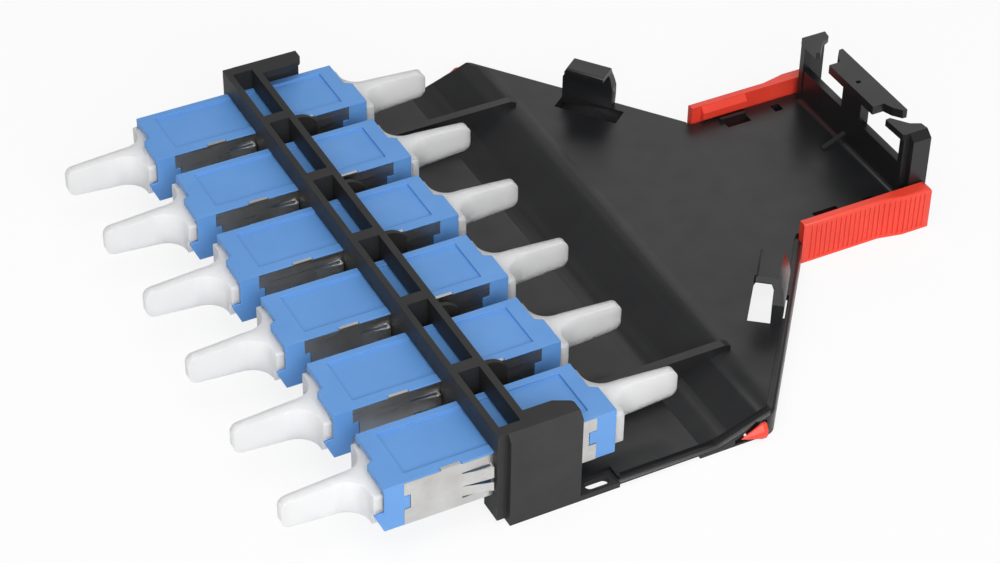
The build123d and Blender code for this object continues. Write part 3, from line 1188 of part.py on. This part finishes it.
with BuildPart() as latch:
    with BuildSketch(Plane.XY.offset(ARM_BOTTOM)):
        with BuildLine():
            FilletPolyline(*ARM_ROUTE, radius=ARM_BEND)
            offset(amount=ARM_WIDTH / 2, side=Side.BOTH)
        make_face()
    extrude(amount=ARM_TOP - ARM_BOTTOM)
    # neck of the nose, through the tray's side wall
    with BuildSketch(Plane.XY.offset(ARM_BOTTOM)):
        with Locations(((NOSE_NECK_FRONT + NOSE_REAR) / 2, NOSE_TALL_SIDE - 1.35)):
            Rectangle(NOSE_REAR - NOSE_NECK_FRONT, 2.7)
    extrude(amount=NOSE_NECK_TOP - ARM_BOTTOM)
    # nose outside the wall: a wedge that rises from a narrow tip
    loft([nose_section(NOSE_FRONT, 0), nose_section(NOSE_CREST, 1)], ruled=True)
    extrude(nose_section(NOSE_CREST, 1), amount=NOSE_REAR - NOSE_CREST)
    # plate under the floor, on the pivot
    with BuildSketch(Plane.XY.offset(PLATE_BOTTOM)):
        with Locations(
            ((LATCH_PLATE_FRONT + LATCH_PLATE_REAR) / 2, (LATCH_PLATE_INNER + HANDLE_INNER + 0.5) / 2)
        ):
            Rectangle(LATCH_PLATE_REAR - LATCH_PLATE_FRONT, HANDLE_INNER + 0.5 - LATCH_PLATE_INNER)
        with Locations((PIVOT_X, PIVOT_Y)):
            Circle(PIVOT_RADIUS + PIVOT_CLEARANCE, mode=Mode.SUBTRACT)
    extrude(amount=PLATE_TOP - PLATE_BOTTOM)
    # handle beside the neck, flared at its rear end
    with BuildSketch(Plane.XY):
        with BuildLine():
            Polyline(
                (HANDLE_FRONT, HANDLE_INNER),
                (HANDLE_FRONT, HANDLE_OUTER),
                (FLARE_START, HANDLE_OUTER),
                (FLARE_END, HANDLE_FLARE),
                (HANDLE_REAR, HANDLE_FLARE),
                (HANDLE_REAR, HANDLE_INNER),
                close=True,
            )
        make_face()
    extrude(amount=HANDLE_TOP)
    rear_top = latch.edges().filter_by(Axis.Y).sort_by_distance((HANDLE_REAR, HANDLE_INNER, HANDLE_TOP))[0]
    fillet(rear_top, HANDLE_ROUND)
    outer_top = latch.edges().group_by(Axis.Z)[-1].filter_by(lambda e: e.center().Y > HANDLE_OUTER - 0.2)
    fillet(outer_top, 0.4)
    # inner tab above the floor, with a sloping top
    with BuildSketch(Plane.YZ.offset(TAB_FRONT)):
        with BuildLine():
            Polyline(
                (TAB_INNER, TAB_BOTTOM),
                (TAB_INNER, TAB_EDGE),
                (HANDLE_INNER, TAB_TOP),
                (HANDLE_INNER + 0.3, TAB_TOP),
                (HANDLE_INNER + 0.3, TAB_BOTTOM),
                close=True,
            )
        make_face()
    extrude(amount=TAB_REAR - TAB_FRONT)
    # grip ribs, as shallow grooves in the outer face
    with BuildSketch(Plane.XY.offset(GRIP_BOTTOM)):
        for groove in range(GRIP_COUNT):
            groove_x = GRIP_START + groove * GRIP_PITCH
            with Locations((groove_x, handle_outside(groove_x))):
                Rectangle(GRIP_WIDTH, 2 * GRIP_DEPTH)
    extrude(amount=GRIP_TOP - GRIP_BOTTOM, mode=Mode.SUBTRACT)

with BuildPart() as latch_mirrored:
    add(latch.part)
    mirror(about=Plane.XZ, mode=Mode.REPLACE)

# Everything moved to the shared frame, one file for each piece
os.makedirs("parts", exist_ok=True)
SHIFT = Pos(-CENTRE_X, 0, 0)


def save(shape, name, place=SHIFT):
    moved = place * shape
    moved.label = name
    export_step(moved, "parts/" + name + ".step")


save(tray.part, "tray")
save(holder.part, "adapter_holder")
save(latch.part, "latch_far")
save(latch_mirrored.part, "latch_near")
for number in range(1, ADAPTER_COUNT + 1):
    place = Pos(-CENTRE_X, row_y(number), 0)
    prefix = "adapter_" + str(number)
    save(front_housing.part, prefix + "_front_housing", place)
    save(rear_housing.part, prefix + "_rear_housing", place)
    save(clip.part, prefix + "_spring_clip", place)
    save(sleeve.part, prefix + "_sleeve", place)
    save(front_plug.part, prefix + "_front_dust_plug", place)
    save(rear_plug.part, prefix + "_rear_dust_plug", place)
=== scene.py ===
import json
import math

import bpy
from mathutils import Matrix, Vector

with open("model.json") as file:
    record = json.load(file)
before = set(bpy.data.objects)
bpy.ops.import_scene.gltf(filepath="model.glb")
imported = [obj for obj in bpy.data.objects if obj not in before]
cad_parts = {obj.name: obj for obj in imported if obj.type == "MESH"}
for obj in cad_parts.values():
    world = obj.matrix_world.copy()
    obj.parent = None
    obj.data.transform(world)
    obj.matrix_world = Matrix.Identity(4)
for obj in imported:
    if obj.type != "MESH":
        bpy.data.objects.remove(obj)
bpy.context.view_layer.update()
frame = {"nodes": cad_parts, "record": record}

MM = 0.001
NODES = frame["nodes"]

# Plastics, one per material slot. colour and rough go from the dark to the light clouds, cloud is
# the size of those clouds, grain the size of the surface's grain and relief its depth. edge is the
# width of the softened edges.
PLASTICS = {
    "tray_black": {
        "colour": ((0.0100, 0.0104, 0.0115), (0.0130, 0.0134, 0.0145)),
        "rough": (0.29, 0.36),
        "cloud": 12 * MM,
        "grain": 0.35 * MM,
        "relief": 0.010 * MM,
        "strength": 0.3,
        "shader": {"IOR": 1.5},
        "edge": 0.12 * MM,
    },
    "holder_black": {
        "colour": ((0.0160, 0.0158, 0.0155), (0.0215, 0.0212, 0.0208)),
        "rough": (0.50, 0.62),
        "cloud": 12 * MM,
        "grain": 0.30 * MM,
        "relief": 0.05 * MM,
        "strength": 0.8,
        "shader": {},
        "edge": 0.16 * MM,
    },
    "adapter_blue": {
        "colour": ((0.112, 0.300, 0.665), (0.128, 0.325, 0.70)),
        "rough": (0.40, 0.52),
        "cloud": 8 * MM,
        "grain": 0.22 * MM,
        "relief": 0.012 * MM,
        "strength": 0.3,
        "shader": {"Subsurface Weight": 0.05, "Subsurface Scale": 0.4 * MM},
        "edge": 0.12 * MM,
    },
    "latch_red": {
        "colour": ((0.76, 0.050, 0.026), (0.84, 0.062, 0.034)),
        "rough": (0.30, 0.40),
        "cloud": 10 * MM,
        "grain": 0.3 * MM,
        "relief": 0.01 * MM,
        "strength": 0.3,
        "shader": {"Subsurface Weight": 0.08, "Subsurface Scale": 0.5 * MM},
        "edge": 0.2 * MM,
    },
    "plug_clear": {
        "colour": ((0.93, 0.945, 0.95), (0.97, 0.975, 0.98)),
        "rough": (0.34, 0.46),
        "cloud": 6 * MM,
        "grain": 0.4 * MM,
        "relief": 0.01 * MM,
        "strength": 0.25,
        "shader": {
            "Subsurface Weight": 1.0,
            "Subsurface Scale": 7.0 * MM,
            "Subsurface Radius": (1.0, 1.0, 1.0),
            "Transmission Weight": 0.1,
            "IOR": 1.45,
        },
        "edge": 0.25 * MM,
    },
    "sleeve_ceramic": {
        "colour": ((0.80, 0.79, 0.76), (0.88, 0.87, 0.84)),
        "rough": (0.20, 0.30),
        "cloud": 3 * MM,
        "grain": 0.2 * MM,
        "relief": 0.004 * MM,
        "strength": 0.2,
        "shader": {},
        "edge": None,
    },
}

# Spring steel of the clips
STEEL_COLOUR = ((0.60, 0.59, 0.57), (0.74, 0.735, 0.72))
STEEL_ROUGH = (0.26, 0.40)
STEEL_CLOUD = 5 * MM
STREAK_SIZE = 0.25 * MM
STREAK_STRETCH = (0.04, 1.0, 1.0)
STREAK_RELIEF = 0.006 * MM
STREAK_STRENGTH = 0.35

# The band of the noise texture's values that colour and roughness are spread over
NOISE_LOW = 0.3
NOISE_HIGH = 0.7
CLOUD_DETAIL = 4.0
PATCH_DETAIL = 5.0
PATCH_SHARE = 0.35
GRAIN_DETAIL = 2.0
STREAK_DETAIL = 3.0

# Softened edges
WELD_DISTANCE = 0.001 * MM
EDGE_SEGMENTS = 2
EDGE_ANGLE = 35

# Floor and world
FLOOR_SIZE = 6.0
FLOOR_DROP = 0.01 * MM
FLOOR_COLOUR = ((0.86, 0.86, 0.86), (0.88, 0.88, 0.88))
PAPER_SIZE = 0.3
PAPER_DETAIL = 2.0
FLOOR_GLOW_SHARE = 0.85
WORLD_LIGHT = 0.26
WORLD_SEEN = 1.0

# Name, place, width and height, and watts of each softbox. All of them face the origin.
SOFTBOXES = (
    ("softbox_top", (-0.15, -0.20, 0.80), (0.8, 0.6), 3.2),
    ("softbox_front", (-0.25, -0.85, 0.50), (1.0, 0.5), 7.5),
    ("softbox_back", (0.62, 0.66, 0.62), (0.7, 0.7), 1.15),
)

# Camera at the photograph's viewing angle, its turn in degrees
CAMERA_PLACE = (-173.796 * MM, -316.273 * MM, 292.743 * MM)
CAMERA_TURN = (50.612, -0.745, -27.232)
CAMERA_LENS = 98.207
SENSOR_WIDTH = 36.0
CLIP_START = 0.01
CLIP_END = 20.0


# Node materials


def new_material(name):
    material = bpy.data.materials.new(name)
    material.use_nodes = True
    tree = material.node_tree
    return material, tree, tree.nodes["Principled BSDF"]


def noise(tree, size, detail, stretch=(1.0, 1.0, 1.0)):
    """Noise whose grains measure about size metres, on the object's own coordinates."""
    place = tree.nodes.new("ShaderNodeTexCoord")
    mapping = tree.nodes.new("ShaderNodeMapping")
    mapping.inputs["Scale"].default_value = stretch
    texture = tree.nodes.new("ShaderNodeTexNoise")
    texture.inputs["Scale"].default_value = 1.0 / size
    texture.inputs["Detail"].default_value = detail
    tree.links.new(place.outputs["Object"], mapping.inputs["Vector"])
    tree.links.new(mapping.outputs["Vector"], texture.inputs["Vector"])
    return texture.outputs["Fac"]


def ramp(tree, factor, low, high):
    """Colour that goes from low to high over the noise band."""
    node = tree.nodes.new("ShaderNodeValToRGB")
    node.color_ramp.elements[0].position = NOISE_LOW
    node.color_ramp.elements[0].color = (*low, 1.0)
    node.color_ramp.elements[1].position = NOISE_HIGH
    node.color_ramp.elements[1].color = (*high, 1.0)
    tree.links.new(factor, node.inputs["Fac"])
    return node.outputs["Color"]


def spread(tree, factor, low, high):
    """Number that goes from low to high over the noise band."""
    node = tree.nodes.new("ShaderNodeMapRange")
    node.inputs["From Min"].default_value = NOISE_LOW
    node.inputs["From Max"].default_value = NOISE_HIGH
    node.inputs["To Min"].default_value = low
    node.inputs["To Max"].default_value = high
    tree.links.new(factor, node.inputs["Value"])
    return node.outputs["Result"]


def bump(tree, height, depth, strength):
    node = tree.nodes.new("ShaderNodeBump")
    node.inputs["Strength"].default_value = strength
    node.inputs["Distance"].default_value = depth
    tree.links.new(height, node.inputs["Height"])
    return node.outputs["Normal"]


def plastic(name, look):
    """Moulded plastic: cloudy colour, roughness that varies, and a fine grain."""
    material, tree, shader = new_material(name)
    clouds = noise(tree, look["cloud"], CLOUD_DETAIL)
    tree.links.new(ramp(tree, clouds, *look["colour"]), shader.inputs["Base Color"])
    patches = noise(tree, look["cloud"] * PATCH_SHARE, PATCH_DETAIL)
    tree.links.new(spread(tree, patches, *look["rough"]), shader.inputs["Roughness"])
    grain = noise(tree, look["grain"], GRAIN_DETAIL)
    relief = bump(tree, grain, look["relief"], look["strength"])
    tree.links.new(relief, shader.inputs["Normal"])
    for socket, value in look["shader"].items():
        shader.inputs[socket].default_value = value
    return material


def steel(name):
    """Rolled spring steel: streaks along the strip and faint clouding."""
    material, tree, shader = new_material(name)
    clouds = noise(tree, STEEL_CLOUD, CLOUD_DETAIL)
    tree.links.new(ramp(tree, clouds, *STEEL_COLOUR), shader.inputs["Base Color"])
    streaks = noise(tree, STREAK_SIZE, STREAK_DETAIL, STREAK_STRETCH)
    tree.links.new(spread(tree, streaks, *STEEL_ROUGH), shader.inputs["Roughness"])
    relief = bump(tree, streaks, STREAK_RELIEF, STREAK_STRENGTH)
    tree.links.new(relief, shader.inputs["Normal"])
    shader.inputs["Metallic"].default_value = 1.0
    return material


def soften(node, width):
    """Give the node's sharp edges a narrow round."""
    weld = node.modifiers.new("weld", "WELD")
    weld.merge_threshold = WELD_DISTANCE
    edge = node.modifiers.new("edge", "BEVEL")
    edge.width = width
    edge.segments = EDGE_SEGMENTS
    edge.limit_method = "ANGLE"
    edge.angle_limit = math.radians(EDGE_ANGLE)
    edge.harden_normals = True


materials = {name: plastic(name, look) for name, look in PLASTICS.items()}
materials["clip_steel"] = steel("clip_steel")

slot_of = {entry["node"]: entry["material_slot"] for entry in frame["record"]["subparts"]}
for name, node in NODES.items():
    slot_name = slot_of[name]
    node.data.materials.clear()
    node.data.materials.append(materials[slot_name])
    look = PLASTICS.get(slot_name)
    if look and look["edge"]:
        soften(node, look["edge"])


# Floor, light and camera


def floor_material():
    """White floor: nearly plain white to the camera and through clear pieces, with a soft shadow."""
    material, tree, shader = new_material("studio_floor")
    tree.nodes.remove(shader)
    output = tree.nodes["Material Output"]
    paper = noise(tree, PAPER_SIZE, PAPER_DETAIL)
    diffuse = tree.nodes.new("ShaderNodeBsdfDiffuse")
    tree.links.new(ramp(tree, paper, *FLOOR_COLOUR), diffuse.inputs["Color"])
    glow = tree.nodes.new("ShaderNodeEmission")
    glow.inputs["Strength"].default_value = 1.0
    rays = tree.nodes.new("ShaderNodeLightPath")
    seen = tree.nodes.new("ShaderNodeMath")
    seen.operation = "MAXIMUM"
    tree.links.new(rays.outputs["Is Camera Ray"], seen.inputs[0])
    tree.links.new(rays.outputs["Is Transmission Ray"], seen.inputs[1])
    share = tree.nodes.new("ShaderNodeMath")
    share.operation = "MULTIPLY"
    share.inputs[1].default_value = FLOOR_GLOW_SHARE
    tree.links.new(seen.outputs["Value"], share.inputs[0])
    mix = tree.nodes.new("ShaderNodeMixShader")
    tree.links.new(share.outputs["Value"], mix.inputs["Fac"])
    tree.links.new(diffuse.outputs["BSDF"], mix.inputs[1])
    tree.links.new(glow.outputs["Emission"], mix.inputs[2])
    tree.links.new(mix.outputs["Shader"], output.inputs["Surface"])
    return material


def studio_world():
    """Even white light from all round, weaker than the white that the camera sees."""
    world = bpy.data.worlds.new("studio")
    world.use_nodes = True
    tree = world.node_tree
    background = tree.nodes["Background"]
    background.inputs["Color"].default_value = (1.0, 1.0, 1.0, 1.0)
    rays = tree.nodes.new("ShaderNodeLightPath")
    strength = tree.nodes.new("ShaderNodeMapRange")
    strength.inputs["To Min"].default_value = WORLD_LIGHT
    strength.inputs["To Max"].default_value = WORLD_SEEN
    tree.links.new(rays.outputs["Is Camera Ray"], strength.inputs["Value"])
    tree.links.new(strength.outputs["Result"], background.inputs["Strength"])
    bpy.context.scene.world = world


def softbox(name, place, size, watts):
    data = bpy.data.lights.new(name, "AREA")
    data.shape = "RECTANGLE"
    data.size = size[0]
    data.size_y = size[1]
    data.energy = watts
    lamp = bpy.data.objects.new(name, data)
    bpy.context.scene.collection.objects.link(lamp)
    turn = (-Vector(place)).to_track_quat("-Z", "Y").to_matrix().to_4x4()
    lamp.matrix_world = Matrix.Translation(place) @ turn


bpy.ops.mesh.primitive_plane_add(size=FLOOR_SIZE, location=(0, 0, -FLOOR_DROP))
floor = bpy.context.object
floor.name = "studio_floor"
floor.data.materials.append(floor_material())

studio_world()

for box in SOFTBOXES:
    softbox(*box)

camera_data = bpy.data.cameras.new("camera")
camera_data.sensor_fit = "HORIZONTAL"
camera_data.sensor_width = SENSOR_WIDTH
camera_data.lens = CAMERA_LENS
camera_data.clip_start = CLIP_START
camera_data.clip_end = CLIP_END
camera = bpy.data.objects.new("camera", camera_data)
bpy.context.scene.collection.objects.link(camera)
camera.location = CAMERA_PLACE
camera.rotation_euler = [math.radians(angle) for angle in CAMERA_TURN]
bpy.context.scene.camera = camera
bpy.context.scene.view_settings.view_transform = "Standard"
